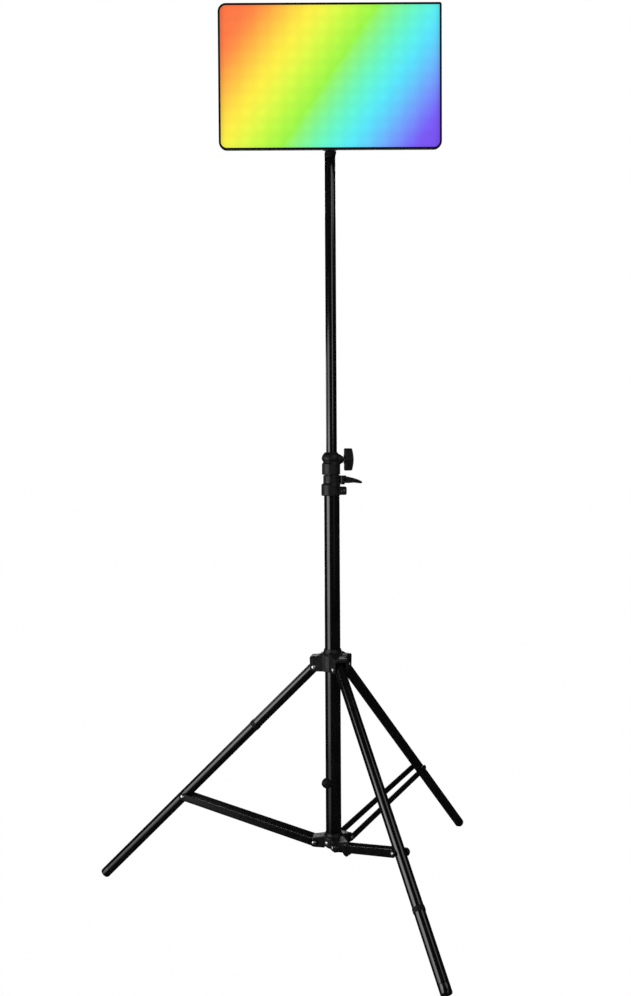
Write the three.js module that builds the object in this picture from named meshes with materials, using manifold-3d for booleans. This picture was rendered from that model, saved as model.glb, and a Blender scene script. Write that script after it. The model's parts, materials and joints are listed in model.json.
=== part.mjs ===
// LED panel light on a folding three-legged stand.
// Millimetres, +Z up. Origin: centre of the flat underside of the column's end
// cap, on the mast axis. The light faces -Y. The floor is at Z = FLOOR_Z.
import * as THREE from 'three';
import { mergeVertices } from 'three/addons/utils/BufferGeometryUtils.js';
import Module from 'manifold-3d';

const wasm = await Module();
wasm.setup();
const rad = THREE.MathUtils.degToRad;

// ---------------------------------------------------------------- main dimensions
const FLOOR_Z = -65.8;
const SEG = 24;                         // default segments round a turned body
const SNUG = 0.15, SLIDING = 0.35;      // radial gaps round the tubes

// mast tubes
const LOWER = { radius: 12.0, bore: 10.7, bottom: 3.0, top: 574.0 };
const MIDDLE = { radius: 10.2, bore: 8.9, bottom: 34.0, top: 595.0 };
const UPPER = { radius: 8.3, bore: 7.1, bottom: 500.0, top: 1061.5 };

// legs: frontSide is the sign of the leg's own Y that faces the front of the stand
const LEGS = {
  a: { azimuth: 170.9, frontSide: 1 },
  b: { azimuth: 50.9, frontSide: -1 },
  c: { azimuth: -69.1, frontSide: -1 },
};
const AZIMUTHS = Object.values(LEGS).map((leg) => leg.azimuth);
const HUB_PIVOT_R = 28.3, HUB_Z = 282.6;
const LEG_LEN = 487.7, LEG_TILT = rad(45);
const LEG_R = 8.0, LEG_BORE = 6.8;
const BRACE_AT = 298.5;                 // hub pivot to brace pivot, along the leg

// braces, from the spider's pins to the legs
const SPIDER_PIVOT_R = 29.0, SPIDER_Z = 9.5;
const BRACE_RUN = HUB_PIVOT_R + BRACE_AT * Math.cos(LEG_TILT) - SPIDER_PIVOT_R;
const BRACE_RISE = HUB_Z - BRACE_AT * Math.sin(LEG_TILT) - SPIDER_Z;
const BRACE_LEN = Math.hypot(BRACE_RUN, BRACE_RISE);
const PIN_HOLE_R = 2.5;

// head and panel
const TILT_Z = 1112.0;
const PANEL_W = 330.0, PANEL_H = 214.0, PANEL_Z = 1167.6;
const PANEL_FRONT = -50.0;              // front face of the rim
const PANEL_BACK = -30.0;               // flat back of the electronics box

// ---------------------------------------------------------------- finishes
const BLACK_PAINT = { color: 0x0b0b0c, roughness: 0.32, metalness: 0.35 };
const BLACK_PLASTIC = { color: 0x151517, roughness: 0.5, metalness: 0 };
const DARK_KNOB = { color: 0x101012, roughness: 0.42, metalness: 0 };
const RIVET = { color: 0xc9cacc, roughness: 0.28, metalness: 1 };
const RUBBER = { color: 0x121213, roughness: 0.8, metalness: 0 };
const STEEL = { color: 0x9a9b9d, roughness: 0.35, metalness: 1 };
const BEZEL = { color: 0x0d0d0f, roughness: 0.38, metalness: 0.2 };
const DIFFUSER = { color: 0xf4f2ee, roughness: 0.55, metalness: 0 };
const HOUSING = { color: 0x161618, roughness: 0.52, metalness: 0 };
const WHITE_BOARD = { color: 0xe8e8e4, roughness: 0.6, metalness: 0 };
const GREEN_BOARD = { color: 0x1d4a30, roughness: 0.55, metalness: 0 };
const DARK_GLASS = { color: 0x0a0c10, roughness: 0.12, metalness: 0 };
const BUTTON = { color: 0x2a2a2d, roughness: 0.45, metalness: 0 };
const SOCKET = { color: 0x202022, roughness: 0.4, metalness: 0 };
const BATTERY = { color: 0x1a1a1d, roughness: 0.48, metalness: 0 };
const RED_LATCH = { color: 0x7a1f1c, roughness: 0.45, metalness: 0 };

// ---------------------------------------------------------------- solids
function solid(geo) {
  geo.deleteAttribute('normal');
  geo.deleteAttribute('uv');
  const merged = mergeVertices(geo, 1e-4);
  const mesh = new wasm.Mesh({
    numProp: 3,
    vertProperties: new Float32Array(merged.attributes.position.array),
    triVerts: new Uint32Array(merged.index.array),
  });
  mesh.merge();
  return new wasm.Manifold(mesh);
}
function geometryOf(manifold) {
  const mesh = manifold.getMesh();
  const geo = new THREE.BufferGeometry();
  geo.setAttribute('position', new THREE.BufferAttribute(new Float32Array(mesh.vertProperties), 3));
  geo.setIndex(new THREE.BufferAttribute(new Uint32Array(mesh.triVerts), 1));
  geo.computeVertexNormals();
  return geo;
}
const join = (first, ...rest) => rest.reduce((body, part) => body.add(part), first);
const cut = (first, ...rest) => rest.reduce((body, part) => body.subtract(part), first);

// placements: each takes a geometry and returns it moved
const stay = (geo) => geo;
const moved = (x, y, z) => (geo) => geo.translate(x, y, z);
const alongX = (x = 0, y = 0, z = 0) => (geo) => geo.rotateY(Math.PI / 2).translate(x, y, z);
const alongY = (x = 0, y = 0, z = 0) => (geo) => geo.rotateX(-Math.PI / 2).translate(x, y, z);
// the given placement, then swung round the mast
const swung = (azimuth, place = stay) => (geo) => place(geo).rotateZ(rad(azimuth));

// box between two opposite corners
function block(x0, y0, z0, x1, y1, z1) {
  const geo = new THREE.BoxGeometry(Math.abs(x1 - x0), y1 - y0, z1 - z0);
  return solid(geo.translate((x0 + x1) / 2, (y0 + y1) / 2, (z0 + z1) / 2));
}
// turned body from [radius, z] pairs; the profile closes on itself or on the axis
function turned(profile, place = stay, seg = SEG) {
  const points = profile.map(([radius, z]) => new THREE.Vector2(radius, z));
  if (points[0].x > 0 || points.at(-1).x > 0) points.push(points[0].clone());
  return solid(place(new THREE.LatheGeometry(points, seg).rotateX(Math.PI / 2)));
}
function bar(radius, z0, z1, place = stay, seg = SEG, chamfer = 0) {
  const side = chamfer > 0
    ? [[radius - chamfer, z0], [radius, z0 + chamfer], [radius, z1 - chamfer], [radius - chamfer, z1]]
    : [[radius, z0], [radius, z1]];
  return turned([[0, z0], ...side, [0, z1]], place, seg);
}
// rounded rectangle about the origin; one radius, or four listed from top right anticlockwise
function roundedShape(width, height, radii) {
  const [topRight, topLeft, lowLeft, lowRight] = Array.isArray(radii) ? radii : Array(4).fill(radii);
  const shape = new THREE.Shape();
  const x = width / 2, y = height / 2;
  const corner = (side, end, radius, start) => shape.absarc(
    side * (x - radius), end * (y - radius), radius, start, start + Math.PI / 2, false);
  shape.moveTo(-x + lowLeft, -y);
  shape.lineTo(x - lowRight, -y);
  corner(1, -1, lowRight, -Math.PI / 2);
  shape.lineTo(x, y - topRight);
  corner(1, 1, topRight, 0);
  shape.lineTo(-x + topLeft, y);
  corner(-1, 1, topLeft, Math.PI / 2);
  shape.lineTo(-x, -y + lowLeft);
  corner(-1, -1, lowLeft, Math.PI);
  return shape;
}
// prism from y0 to y1 on a shape or on [x, z] points; the bevel stays inside the outline
function prismY(outline, y0, y1, options = {}) {
  const { bevel = 0, bevelSegments = 1, curveSegments = 4, place = stay } = options;
  const shape = Array.isArray(outline)
    ? new THREE.Shape(outline.map(([x, z]) => new THREE.Vector2(x, z)))
    : outline;
  const geo = new THREE.ExtrudeGeometry(shape, {
    depth: y1 - y0 - 2 * bevel,
    bevelEnabled: bevel > 0,
    bevelThickness: bevel,
    bevelSize: bevel,
    bevelOffset: -bevel,
    bevelSegments,
    curveSegments,
  });
  return solid(place(geo.rotateX(Math.PI / 2).translate(0, y1 - bevel, 0)));
}
// prism from x0 to x1 on [y, z] points
const prismX = (outline, x0, x1, { place = stay, ...options } = {}) => prismY(outline, -x1, -x0, {
  ...options, place: (geo) => place(geo.rotateZ(Math.PI / 2)),
});
// rounded plate parallel to XZ from y0 to y1, centred on (x, z)
const plate = (width, height, radii, y0, y1, x, z, curveSegments = 4) => prismY(
  roundedShape(width, height, radii), y0, y1, { curveSegments, place: moved(x, 0, z) });
// points from one angle to another, in degrees
function arcPoints(x, z, radius, from, to, steps) {
  return Array.from({ length: steps + 1 }, (_, i) => {
    const angle = rad(from + ((to - from) * i) / steps);
    return [x + radius * Math.cos(angle), z + radius * Math.sin(angle)];
  });
}
// cuts a ring of flutes into a grip whose axis is alongX or alongY
function fluted(body, axis, { count = 8, start = 0, ringR, radius, from, to = 40, seg = 6 }) {
  const flutes = Array.from({ length: count }, (_, i) => {
    const angle = rad((i * 360) / count + start);
    const across = ringR * Math.cos(angle), up = ringR * Math.sin(angle);
    return bar(radius, from, to, axis === alongX ? alongX(0, across, up) : alongY(across, 0, up), seg);
  });
  return cut(body, ...flutes);
}

const model = new THREE.Group();
function piece(name, manifold, finish, parent = model) {
  const mesh = new THREE.Mesh(geometryOf(manifold), new THREE.MeshStandardMaterial(finish));
  mesh.name = name;
  parent.add(mesh);
  return mesh;
}

// ---------------------------------------------------------------- column foot
function mastTube({ radius, bore, bottom, top }) {
  const chamfer = 0.3;
  return turned([
    [bore, bottom], [radius, bottom], [radius, top - chamfer], [radius - chamfer, top], [bore, top],
  ]);
}
piece('lower_tube', mastTube(LOWER), BLACK_PAINT);

// a flange under the tube and a plug inside it
const columnEndCap = () => turned([
  [0, 0], [11.2, 0], [11.9, 0.7], [11.9, 2.7], [10.4, 2.7], [10.4, 23], [0, 23],
]);
piece('column_end_cap', columnEndCap(), RUBBER);

const SPIDER_ARM_HALF = 11.6;
const spiderRivetWay = swung(231, alongX(0, 0, 10.5));

const spiderArm = (azimuth) => prismY([
  [13, 1.6], [26, 1.9], ...arcPoints(SPIDER_PIVOT_R, SPIDER_Z, 7.4, -80, 80, 8), [24, 17.6], [13, 19.5],
], -SPIDER_ARM_HALF, SPIDER_ARM_HALF, { bevel: 0.6, place: swung(azimuth) });

// rounded lug, facing outwards, that hangs beside arm c on its +X side
const spiderLug = () => prismX([
  [-6.4, 8], [-6.8, 1], [-5.6, -4.4], [-3.6, -7.6], [-1.4, -8.8], [1.0, -7.8],
  [2.6, -6.4], [5.2, -6.2], [7.0, -4.0], [7.6, 0], [6.8, 4.2], [3.0, 8],
], 16.2, 23.4, { bevel: 0.8, place: swung(LEGS.c.azimuth, moved(0, 13.6, -1.4)) });

// hole across an arm or ear, for the pin at the given radius and height
const pinHole = (azimuth, pivotR, z) => bar(
  PIN_HOLE_R, -16, 16, swung(azimuth, alongY(pivotR, 0, z)), 10);

// sleeve round the tube foot with three arms that carry the braces
function baseSpider() {
  const sleeve = turned([
    [0, 3.4], [16.2, 3.4], [17.4, 4.6], [17.4, 17.0],
    [16.4, 18.6], [14.4, 19.8], [13.1, 24.0], [0, 24.0],
  ]);
  return cut(
    join(sleeve, ...AZIMUTHS.map(spiderArm), spiderLug()),
    bar(LOWER.radius + SNUG, 2, 30),
    ...AZIMUTHS.map((azimuth) => pinHole(azimuth, SPIDER_PIVOT_R, SPIDER_Z)),
    bar(2.3, 10, 24, spiderRivetWay, 12),
  );
}
piece('base_spider', baseSpider(), BLACK_PLASTIC);

const spiderFixingRivet = () => turned([
  [0, 12.3], [2.0, 12.3], [2.0, 17.7], [3.0, 17.7], [2.8, 18.5], [1.7, 19.2], [0, 19.5],
], spiderRivetWay, 14);
piece('spider_fixing_rivet', spiderFixingRivet(), RIVET);

// blunt nose that keeps the leg hub above the spider
function travelStop() {
  const nose = turned([
    [0, 8.0], [8.4, 8.0], [8.8, 11.0], [8.2, 14.6], [5.8, 18.2], [2.4, 20.8], [0, 21.2],
  ], swung(214, alongX(0, 0, 102)), 10);
  return cut(nose, bar(LOWER.radius + SNUG, 80, 130));
}
piece('travel_stop', travelStop(), RUBBER);

// ---------------------------------------------------------------- lower collar
const CLAMP_SCREW = [17.6, 0, 554.2];
const LEVER_X = 17.1, LEVER_Y = -2.5;   // axis of the lever's upright pin

// clamp on the lower tube, neck above
function lowerCollar() {
  const clamp = turned([
    [0, 546.8], [13.6, 546.8], [14.5, 547.8], [14.5, 563.6], [13.4, 565.4], [0, 565.4],
  ], moved(-1.6, 0, 0));
  const neck = turned([[0, 560], [13.1, 560], [13.1, 577.2], [12.4, 578.8], [0, 578.8]]);
  const clampEar = prismY(roundedShape(15, 13, 2.6), -6.8, 6.8, {
    bevel: 0.6, place: moved(15.4, 0, 554.6),
  });
  const leverLug = block(8, -6.4, 564.2, 19.9, 1.4, 565.9);
  const sawCut = block(12.0, -0.6, 540, 30, 0.6, 561.8);
  const leverWay = moved(LEVER_X, LEVER_Y, 0);
  return cut(
    join(clamp, neck, clampEar, leverLug),
    bar(LOWER.radius + SNUG, 540, LOWER.top + 0.2),
    bar(MIDDLE.radius + SLIDING, 570, 585),
    sawCut,
    bar(2.2, -12, 12, alongY(...CLAMP_SCREW), 12),
    bar(5.6, 565.9, 590, leverWay, 18), // room for the lever's barrel
    bar(2.3, 563, 590, leverWay, 12),
  );
}
piece('lower_collar', lowerCollar(), BLACK_PLASTIC);

const collarClampScrew = () => turned([
  [0, -8.4], [1.9, -9.2], [3.3, -8.9], [3.5, -8.0], [3.5, -6.9], [1.9, -6.9], [1.9, 7.2], [0, 7.2],
], alongY(...CLAMP_SCREW), 14);
piece('collar_clamp_screw', collarClampScrew(), STEEL);

// barrel on an upright pin, and a tapering arm with a groove in the front of its root
function collarLever() {
  const barrel = turned([
    [0, 564.4], [2.0, 564.4], [2.0, 566.2], [4.8, 566.2], [5.1, 566.6],
    [5.1, 577.0], [4.4, 578.2], [0, 578.2],
  ], moved(LEVER_X, LEVER_Y, 0), 18);
  const arm = prismY([
    [15.6, 566.3], [15.6, 578.0], [20.3, 577.2], [29.2, 575.2], [36.3, 573.3],
    [42.4, 570.9], [46.0, 569.0], [46.8, 567.6], [46.2, 566.0], [44.0, 565.6],
    [34.0, 566.9], [27.0, 566.3], [21.0, 566.3],
  ], -5.4, 0.4, { bevel: 0.8 });
  const groove = block(17.2, -8.2, 570.2, 26.4, -3.7, 572.6);
  return cut(join(barrel, arm), groove);
}
piece('lower_collar_lever', collarLever(), DARK_KNOB);

// ---------------------------------------------------------------- leg hub
const EAR_HALF = 11.4, SLOT_HALF = 8.5;
const HUB_KNOB_AZIMUTH = -35, HUB_KNOB_Z = 298.2;
const KNOB_BOSS_R = 5.6, KNOB_STEM_HOLE_R = 3.3;

const hubEar = (azimuth) => prismY([
  [11, 276], [31.5, 276], [34.0, 278.5], [34.7, 297.4], [33.2, 299.6],
  [24.0, 300.2], [20.4, 301.4], [17.2, 303.8], [11, 306.4],
], -EAR_HALF, EAR_HALF, { bevel: 0.7, place: swung(azimuth) });

const hubSlot = (azimuth) => prismY([
  [18.6, 270], [45, 270], [45, 289], [33.2, 293.6], [22.4, 293.6], [18.6, 289],
], -SLOT_HALF, SLOT_HALF, { place: swung(azimuth) });

// sliding sleeve with a slotted ear for each leg and a boss for the lock knob
function legHub() {
  const knobWay = swung(HUB_KNOB_AZIMUTH, alongX(0, 0, HUB_KNOB_Z));
  const sleeve = turned([
    [0, 276], [17.0, 276], [17.6, 276.6], [17.6, 300.2],
    [14.4, 304.4], [13.5, 309.2], [13.2, 310.5], [0, 310.5],
  ]);
  const knobBoss = bar(KNOB_BOSS_R, 8, 18, knobWay, 16, 0.5);
  return cut(
    join(sleeve, ...AZIMUTHS.map(hubEar), knobBoss),
    ...AZIMUTHS.flatMap((azimuth) => [hubSlot(azimuth), pinHole(azimuth, HUB_PIVOT_R, HUB_Z)]),
    bar(LOWER.radius + SLIDING, 270, 320),
    bar(7.0, 18.2, 45, knobWay, 18),    // room for the knob's grip
    bar(KNOB_STEM_HOLE_R, 8, 24, knobWay, 12),
  );
}
piece('leg_hub', legHub(), BLACK_PLASTIC);

// fluted grip and a stem that presses on the tube
function hubLockKnob() {
  const body = turned([
    [0, 12.6], [2.9, 12.6], [2.9, 18.5], [5.6, 18.5], [6.4, 19.4],
    [6.5, 22.6], [6.4, 27.6], [5.6, 29.4], [3.4, 30.2], [0, 30.4],
  ], alongX(), 20);
  return fluted(body, alongX, { ringR: 7.1, radius: 1.3, from: 20.6 });
}
const hubKnob = piece('hub_lock_knob', hubLockKnob(), DARK_KNOB);
hubKnob.position.set(0, 0, HUB_KNOB_Z);
hubKnob.rotation.z = rad(HUB_KNOB_AZIMUTH);

// ---------------------------------------------------------------- legs
// frame of one leg and its brace: +X points outwards from the mast
function sideGroup(azimuth) {
  const side = new THREE.Group();
  side.rotation.z = rad(azimuth);
  model.add(side);
  return side;
}
// inside a side frame: +X runs down the leg from its hinge
function legGroup(side) {
  const leg = new THREE.Group();
  leg.position.set(HUB_PIVOT_R, 0, HUB_Z);
  leg.rotation.y = LEG_TILT;
  side.add(leg);
  return leg;
}

function legTube() {
  const end = LEG_LEN - 14.0;
  return cut(
    turned([[LEG_BORE, -4.6], [LEG_R, -4.4], [LEG_R, end], [LEG_BORE, end]], alongX(), 20),
    bar(2.6, -20, 20, alongY(), 8),
  );
}

// everything below the floor, in the leg's frame
function underFloor() {
  const sin = Math.sin(LEG_TILT), cos = Math.cos(LEG_TILT);
  const drop = FLOOR_Z - HUB_Z;         // floor level seen from the hinge
  const reach = LEG_LEN * cos;          // keeps the block under the foot
  return solid(new THREE.BoxGeometry(120, 60, 40)
    .translate(0, 0, -20)
    .rotateY(-LEG_TILT)
    .translate(reach * cos - drop * sin, 0, reach * sin + drop * cos));
}

// cap flush with the tube and a plug inside it, flat on the floor
function legFoot() {
  const plugR = 6.5, shoulder = LEG_LEN - 13.7;
  return cut(turned([
    [0, LEG_LEN - 36], [plugR, LEG_LEN - 36], [plugR, shoulder], [LEG_R, shoulder],
    [LEG_R, LEG_LEN - 2.0], [7.4, LEG_LEN - 0.7], [6.0, LEG_LEN], [0, LEG_LEN],
  ], alongX(), 20), underFloor());
}

// rivet across a side frame with a head at both ends
function crossRivet({ half, headR, headH }, pivotR, z) {
  const shankR = 2.2, rimR = headR * 0.75, rimH = headH * 0.7;
  return turned([
    [0, -half - headH], [rimR, -half - rimH], [headR, -half], [shankR, -half],
    [shankR, half], [headR, half], [rimR, half + rimH], [0, half + headH],
  ], alongY(pivotR, 0, z), 10);
}
const HINGE_RIVET = { half: EAR_HALF + 0.2, headR: 3.6, headH: 1.9 };

// ring round a leg tube, at a distance from the hinge
const legBand = (middle) => turned([
  [LEG_R + 0.3, middle - 3.4], [LEG_R + 0.6, middle - 3.4], [LEG_R + 0.75, middle],
  [LEG_R + 0.6, middle + 3.4], [LEG_R + 0.3, middle + 3.4],
], alongX(), 20);

// ---------------------------------------------------------------- braces
const STRIP_IN = 12.0, STRIP_OUT = 14.0, STRIP_H = 10.8;
const STRIP_TOE = 2.2;                  // how far each strip closes in on the leg at its rivet
const RIVET_SEAT = STRIP_OUT - STRIP_TOE + 0.15;
const ROOT_PIN = { half: STRIP_OUT + 0.25, headR: 3.5, headH: 1.7 };

// at the brace's leg end, pointing outwards on one side
const braceEnd = (sign) => (geo) => swung(sign < 0 ? 180 : 0, alongY())(geo)
  .translate(BRACE_LEN, 0, 0);

// flat strip along +X from the spider pin, with a spacer boss towards the leg
function braceStrip(sign, hasClosedEnd) {
  const lean = new THREE.Matrix4().set(
    1, 0, 0, 0,
    (-sign * STRIP_TOE) / BRACE_LEN, 1, 0, 0,
    0, 0, 1, 0,
    0, 0, 0, 1,
  );
  const outline = [
    ...arcPoints(BRACE_LEN, 0, STRIP_H / 2, -90, 90, 5),
    ...arcPoints(0, 0, STRIP_H / 2, 90, 270, 5),
  ];
  const [y0, y1] = sign > 0 ? [STRIP_IN, STRIP_OUT] : [-STRIP_OUT, -STRIP_IN];
  const strip = cut(
    join(
      prismY(outline, y0, y1, { place: (geo) => geo.applyMatrix4(lean) }),
      bar(4.6, 8.9 + STRIP_TOE, STRIP_IN + 0.5, (geo) => braceEnd(sign)(geo).applyMatrix4(lean), 10),
    ),
    bar(PIN_HOLE_R, -20, 20, alongY(), 10),
    bar(1.9, -20, 20, alongY(BRACE_LEN, 0, 0), 10),
  );
  if (!hasClosedEnd) return strip;
  // closed end of the leg rivet
  return strip.add(turned([
    [0, 10.6], [3.4, 10.6], [3.4, RIVET_SEAT - 0.15], [4.4, RIVET_SEAT - 0.15],
    [3.4, RIVET_SEAT + 1.4], [0, RIVET_SEAT + 2.6],
  ], braceEnd(sign), 12));
}

const braceLegRivet = (sign) => turned([
  [0, 9.4], [1.6, 9.4], [1.6, RIVET_SEAT], [3.5, RIVET_SEAT],
  [2.7, RIVET_SEAT + 1.2], [0, RIVET_SEAT + 1.8],
], braceEnd(sign), 14);

for (const [key, { azimuth, frontSide }] of Object.entries(LEGS)) {
  const side = sideGroup(azimuth);
  const leg = legGroup(side);
  piece(`leg_${key}_tube`, legTube(), BLACK_PAINT, leg);
  piece(`leg_${key}_foot`, legFoot(), RUBBER, leg);
  piece(`leg_${key}_hinge_rivet`, crossRivet(HINGE_RIVET, HUB_PIVOT_R, HUB_Z), RIVET, side);

  const brace = new THREE.Group();
  brace.position.set(SPIDER_PIVOT_R, 0, SPIDER_Z);
  brace.rotation.y = -Math.atan2(BRACE_RISE, BRACE_RUN);
  side.add(brace);
  for (const [hand, sign] of [['left', 1], ['right', -1]]) {
    const strip = braceStrip(sign, sign !== frontSide);
    piece(`brace_${key}_strip_${hand}`, strip, BLACK_PAINT, brace);
  }
  piece(`brace_${key}_root_pin`, crossRivet(ROOT_PIN, SPIDER_PIVOT_R, SPIDER_Z), RIVET, side);
  piece(`brace_${key}_leg_rivet`, braceLegRivet(frontSide), RIVET, brace);
}
// bands on two of the legs: leg and distance from the hinge
for (const [key, middle] of [['a', 134], ['c', 378]]) {
  piece(`leg_${key}_band`, legBand(middle), RUBBER, legGroup(sideGroup(LEGS[key].azimuth)));
}

// ---------------------------------------------------------------- middle and upper mast
const COLLAR_KNOB_Z = 602.6;

// sleeve on the middle tube, cap above it and a knob boss on the +X side
function middleCollar() {
  const sleeve = turned([
    [0, 579.2], [13.4, 579.2], [14.1, 580.0], [14.1, 595.6], [13.2, 597.2], [12.2, 598.0], [0, 598.0],
  ], moved(-0.9, 0, 0));
  const cap = turned([
    [0, 596], [12.2, 596], [12.3, 599.6], [13.6, 600.8], [14.6, 603.2],
    [14.6, 605.6], [13.4, 609.2], [10.8, 612.2], [9.8, 613.8], [0, 613.8],
  ], moved(-0.7, 0, 0));
  const knobWay = alongX(0, 0, COLLAR_KNOB_Z);
  const knobBoss = turned([
    [0, 6], [9.6, 6], [8.2, 12.6], [5.4, 16.4], [5.2, 18.0], [0, 18.0],
  ], knobWay, 18);
  return cut(
    join(sleeve, cap, knobBoss),
    bar(MIDDLE.radius + SNUG, 570, MIDDLE.top + SNUG),
    bar(UPPER.radius + SLIDING, 580, 620),
    bar(KNOB_STEM_HOLE_R, 5, 24, knobWay, 12),
  );
}

// T-shaped knob: flat towards the mast, bulged outwards
function middleCollarKnob() {
  const grip = prismY([
    [19.0, -15.6], [19.4, -16.9], [20.6, -17.2], [30.0, -17.2], [31.6, -16.0],
    [32.8, -10.5], [33.7, -4.5], [33.9, 0], [33.7, 4.5], [32.8, 10.5],
    [31.6, 16.0], [30.0, 17.2], [20.6, 17.2], [19.4, 16.9], [19.0, 15.6],
  ], -5.6, 5.6, { bevel: 1.6, bevelSegments: 2 });
  const core = turned([[0, 18.5], [7.0, 18.5], [7.6, 19.4], [7.0, 31.0], [0, 33.2]], alongX(), 18);
  const stem = bar(2.9, 9.0, 22, alongX(), 18);
  return join(grip, core, stem);
}

// plug in the tube, shoulder flared to the +X side, and grooved spigot
function mastTopCap() {
  const seat = UPPER.top + 0.15;
  const body = turned([
    [0, 1036], [6.8, 1036], [6.8, seat], [UPPER.radius, seat], [UPPER.radius, 1069.0],
    [7.7, 1070.4], [6.4, 1071.0], [5.0, 1071.0], [5.0, 1080.8], [4.3, 1081.6],
    [4.3, 1086.6], [5.0, 1087.4], [5.0, 1092.2], [0, 1092.2],
  ]);
  const flare = turned([
    [0, 1063.0], [6.8, 1063.0], [8.5, 1069.6], [8.5, 1071.0], [0, 1071.0],
  ], moved(1.3, 0, 0));
  return body.add(flare);
}
piece('middle_tube', mastTube(MIDDLE), BLACK_PAINT);
piece('middle_collar', middleCollar(), BLACK_PLASTIC);
piece('middle_collar_knob', middleCollarKnob(), DARK_KNOB).position.set(0, 0, COLLAR_KNOB_Z);
piece('upper_tube', mastTube(UPPER), BLACK_PAINT);
piece('mast_top_cap', mastTopCap(), BLACK_PLASTIC);

// ---------------------------------------------------------------- swivel and tilt head
const PAN_KNOB_Z = 1084.0;
const EAR_R = 9, EAR_HALF_T = 4.6;
const CHEEK_IN = 4.9, CHEEK_OUT = 9.3;
const TILT_HOLE_R = 3.4;
const BRACKET_FACE = PANEL_BACK + 4.3;
const SCREW_X = 18;                     // bracket screws, either side of the middle

// socket on the cap's spigot, with an upright ear for the tilt bolt
function swivelBase() {
  const socket = turned([
    [0, 1071.3], [6.8, 1071.3], [6.8, 1073.9], [11.4, 1073.9],
    [12.2, 1074.9], [12.2, 1095.0], [11.0, 1096.4], [0, 1096.4],
  ]);
  const ear = prismX(
    [[-EAR_R, 1092], [EAR_R, 1092], ...arcPoints(0, TILT_Z, EAR_R, 0, 180, 14)],
    -EAR_HALF_T, EAR_HALF_T,
  );
  const knobWay = alongY(0, 0, PAN_KNOB_Z);
  return cut(
    join(socket, ear, bar(KNOB_BOSS_R, 8, 17, knobWay, 16, 0.5)),
    bar(5.3, 1070, 1092.6, stay, 18),
    bar(3.0, 3, 24, knobWay, 12),
    bar(TILT_HOLE_R, -10, 10, alongX(0, 0, TILT_Z), 14),
  );
}

function panLockKnob() {
  const body = turned([
    [0, 4.6], [2.6, 4.6], [2.6, 17.6], [6.4, 17.6], [7.6, 18.6], [7.8, 25.6], [6.8, 27.6], [0, 28.4],
  ], alongY(), 16);
  return fluted(body, alongY, { ringR: 8.4, radius: 1.6, from: 19.2 });
}

// hole through the back of the panel
const backHole = (radius, x, z, seg = 10) => bar(radius, -40, -20, alongY(x, 0, z), seg);

// plate on the back of the panel and two cheeks round the ear
function tiltBracket() {
  const root = PANEL_BACK + 4.0;
  const cheekOutline = [
    [root, TILT_Z - 9.8], [-6, TILT_Z - 7.6], ...arcPoints(0, TILT_Z, 8.6, -80, 80, 10),
    [-6, TILT_Z + 8.6], [root, TILT_Z + 12.4],
  ];
  return cut(
    join(
      plate(46, 28, 4, PANEL_BACK + 0.3, BRACKET_FACE, 0, TILT_Z),
      prismX(cheekOutline, CHEEK_IN, CHEEK_OUT),
      prismX(cheekOutline, -CHEEK_OUT, -CHEEK_IN),
    ),
    bar(TILT_HOLE_R, -30, 30, alongX(0, 0, TILT_Z), 14),
    backHole(2.0, -SCREW_X, TILT_Z, 14),
    backHole(2.0, SCREW_X, TILT_Z, 14),
  );
}

function bracketScrew(x) {
  const seat = BRACKET_FACE + 0.3;
  return turned([
    [0, -34.5], [1.5, -34.5], [1.5, seat], [3.4, seat],
    [3.3, seat + 1.2], [2.2, seat + 1.9], [0, seat + 2.1],
  ], alongY(x, 0, TILT_Z), 14);
}

// head on the -X side
const tiltBolt = () => turned([
  [0, -13.6], [4.6, -13.6], [5.2, -13.0], [5.2, -9.7], [3.0, -9.7], [3.0, 13.0], [0, 13.0],
], alongX(0, 0, TILT_Z), 18);

// lobed grip on the end of the bolt
function tiltLockKnob() {
  const body = turned([
    [0, 9.7], [6.2, 9.7], [6.4, 12.4], [11.8, 14.2], [12.6, 16.0], [12.6, 23.0], [11.0, 25.2], [0, 26.6],
  ], alongX());
  return fluted(cut(body, bar(3.3, 5, 13.6, alongX(), 14)), alongX, {
    count: 6, start: 30, ringR: 14.2, radius: 3.4, from: 13.0, seg: 8,
  });
}
piece('swivel_base', swivelBase(), BLACK_PLASTIC);
piece('pan_lock_knob', panLockKnob(), DARK_KNOB).position.set(0, 0, PAN_KNOB_Z);
piece('tilt_bracket', tiltBracket(), BLACK_PLASTIC);
piece('bracket_screw_left', bracketScrew(-SCREW_X), STEEL);
piece('bracket_screw_right', bracketScrew(SCREW_X), STEEL);
piece('tilt_bolt', tiltBolt(), STEEL);
piece('tilt_lock_knob', tiltLockKnob(), DARK_KNOB).position.set(0, 0, TILT_Z);

// ---------------------------------------------------------------- panel
const RIM_DEPTH = 4.0, RIM_LIP = 3.1, RIM_WALL = 1.6;
const TRAY_FRONT = PANEL_FRONT + RIM_DEPTH + 0.2, TRAY_BACK = -37.0;
const BOX_W = 236, BOX_H = 146;
const CONTROL_X = [62, 92];             // columns of the buttons and dials
const BUTTON_Z = 1199, DIAL_Z = 1140;
const DISPLAY = { width: 48, height: 26, x: (CONTROL_X[0] + CONTROL_X[1]) / 2, z: 1170 };
const DC_BODY = { width: 11.4, height: 7.4, x: -86.5, z: 1132.5 };
const LATCH_X = -24, LATCH_Z = 1156;

// corner radii of the panel outline, moved inwards; the top corner on +X is the tight one
const panelCorners = (inset) => [3, 12, 12, 12].map((radius) => Math.max(radius - inset, 0.4));
// plate with the panel's outline, moved inwards
const panelPlate = (inset, y0, y1) => plate(
  PANEL_W - 2 * inset, PANEL_H - 2 * inset, panelCorners(inset), y0, y1, 0, PANEL_Z, 5);

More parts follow.
